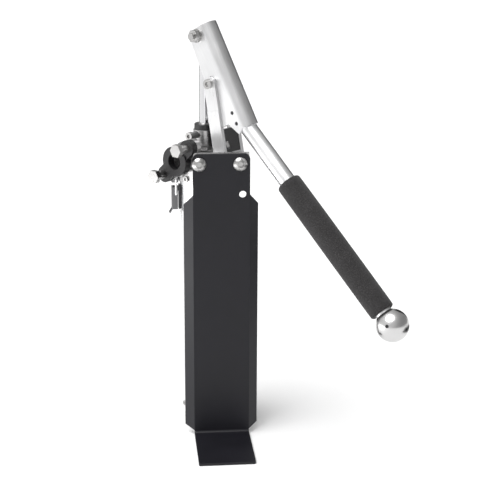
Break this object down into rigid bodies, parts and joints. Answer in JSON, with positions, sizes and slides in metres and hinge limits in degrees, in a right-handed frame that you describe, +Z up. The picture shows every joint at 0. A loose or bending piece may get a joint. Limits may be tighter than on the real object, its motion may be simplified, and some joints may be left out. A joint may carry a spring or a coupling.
{
  "type": "hand-operated pail pump",
  "caption": "Hand-operated upright pail pump: a tube with a lever-driven piston rod, side outlet flange, toggle latches and a folded black foot plate.",
  "frame": {"origin": "centre of the foot sole, on the ground", "axes": "+Z up, the foot reaches towards -Y, the pump tube stands behind the plate towards +Y, the outlet is towards -X and -Y, the handle towards +X and -Y"},
  "size_m": [0.3621, 0.3152, 0.6426],
  "materials": {
    "black_coating": "satin black powder coat",
    "tube_aluminium": "polished anodised aluminium",
    "cast_aluminium": "machined casting",
    "lever_aluminium": "satin brushed",
    "bright_aluminium": "polished",
    "stainless_steel": "stainless",
    "rod_steel": "ground and polished",
    "dark_steel": "blackened steel",
    "black_casting": "black coated casting",
    "black_plastic": "moulded",
    "foam_rubber": "foamed grip",
    "seal_rubber": "seal",
    "packing_fibre": "braided packing"
  },
  "bodies": {
    "pump": {"foot_plate": "black_coating", "mount_bar": "cast_aluminium", "plate_screws": "stainless_steel", "pump_tube": "tube_aluminium", "head_block": "cast_aluminium", "gland_packing": "packing_fibre", "gland_nut": "black_plastic", "rod_wiper": "stainless_steel", "bleed_plug": "stainless_steel", "head_screws": "stainless_steel", "tube_seal": "seal_rubber", "outlet_gasket": "seal_rubber", "outlet_flange": "black_casting", "outlet_spacers": "stainless_steel", "outlet_bolts": "stainless_steel", "intake_body": "cast_aluminium", "intake_foot": "cast_aluminium", "valve_keeper": "stainless_steel", "intake_screws": "stainless_steel", "pivot_bolt": "stainless_steel", "latch_base_left": "dark_steel", "latch_strike_left": "stainless_steel", "latch_base_right": "dark_steel", "latch_strike_right": "stainless_steel"},
    "rod": {"piston_rod": "rod_steel", "rod_eye": "stainless_steel", "rod_stop": "stainless_steel", "piston_plate": "cast_aluminium", "piston_cup": "seal_rubber", "flap_keeper": "stainless_steel", "piston_nut": "stainless_steel"},
    "lever": {"lever_head": "lever_aluminium", "lever_set_screws": "dark_steel", "handle_tube": "lever_aluminium", "foam_grip": "foam_rubber", "ball_knob": "bright_aluminium", "knob_set_screw": "dark_steel", "rod_pin_bolt": "stainless_steel", "rod_pin_nut": "stainless_steel", "rod_pin_washers": "stainless_steel", "rod_pin_shims": "black_plastic", "link_bush": "dark_steel", "link_pin": "stainless_steel"},
    "link": {"link_near": "lever_aluminium", "link_far": "lever_aluminium", "link_spacer": "black_plastic", "link_bolts": "stainless_steel"},
    "flap": {"piston_flap": "seal_rubber"},
    "foot_valve": {"foot_valve_disc": "stainless_steel"},
    "left_latch": {"latch_lever_left": "stainless_steel"},
    "left_bail": {"latch_bail_left": "stainless_steel"},
    "right_latch": {"latch_lever_right": "stainless_steel"},
    "right_bail": {"latch_bail_right": "stainless_steel"}
  },
  "joints": [
    {"name": "lever_swing", "type": "hinge", "parent": "rod", "child": "lever", "pos_m": [-0.0205, 0.129, 0.6195], "axis": [-0.7071, -0.7071, 0], "range_deg": [0, 85.48]},
    {"name": "rod_slide", "type": "slide", "parent": "pump", "child": "rod", "axis": [0, 0, -1], "range_m": [0, 0.0901]},
    {"name": "link_swing", "type": "hinge", "parent": "pump", "child": "link", "pos_m": [0.01648, 0.09202, 0.43], "axis": [-0.7071, -0.7071, 0], "range_deg": [-19.88, 0]},
    {"name": "flap_lift", "type": "slide", "parent": "rod", "child": "flap", "axis": [0, 0, 1], "range_m": [0, 0.006]},
    {"name": "foot_valve_lift", "type": "slide", "parent": "pump", "child": "foot_valve", "axis": [0, 0, 1], "range_m": [0, 0.007]},
    {"name": "left_latch_swing", "type": "hinge", "parent": "pump", "child": "left_latch", "pos_m": [-0.066, 0.129, 0.384], "axis": [0, 1, 0], "range_deg": [0, 95]},
    {"name": "left_bail_swing", "type": "hinge", "parent": "left_latch", "child": "left_bail", "pos_m": [-0.0655, 0.129, 0.376], "axis": [0, 1, 0], "range_deg": [-95, 0]},
    {"name": "right_latch_swing", "type": "hinge", "parent": "pump", "child": "right_latch", "pos_m": [0.025, 0.129, 0.384], "axis": [0, -1, 0], "range_deg": [0, 95]},
    {"name": "right_bail_swing", "type": "hinge", "parent": "right_latch", "child": "right_bail", "pos_m": [0.0245, 0.129, 0.376], "axis": [0, -1, 0], "range_deg": [-95, 0]}
  ],
  "couplings": [
    {"joint": "rod_slide", "follows": "lever_swing", "m_per_rad": 0.060323},
    {"joint": "link_swing", "follows": "lever_swing", "ratio": -0.23197},
    {"joint": "left_bail_swing", "follows": "left_latch_swing", "ratio": -1},
    {"joint": "right_bail_swing", "follows": "right_latch_swing", "ratio": -1}
  ]
}
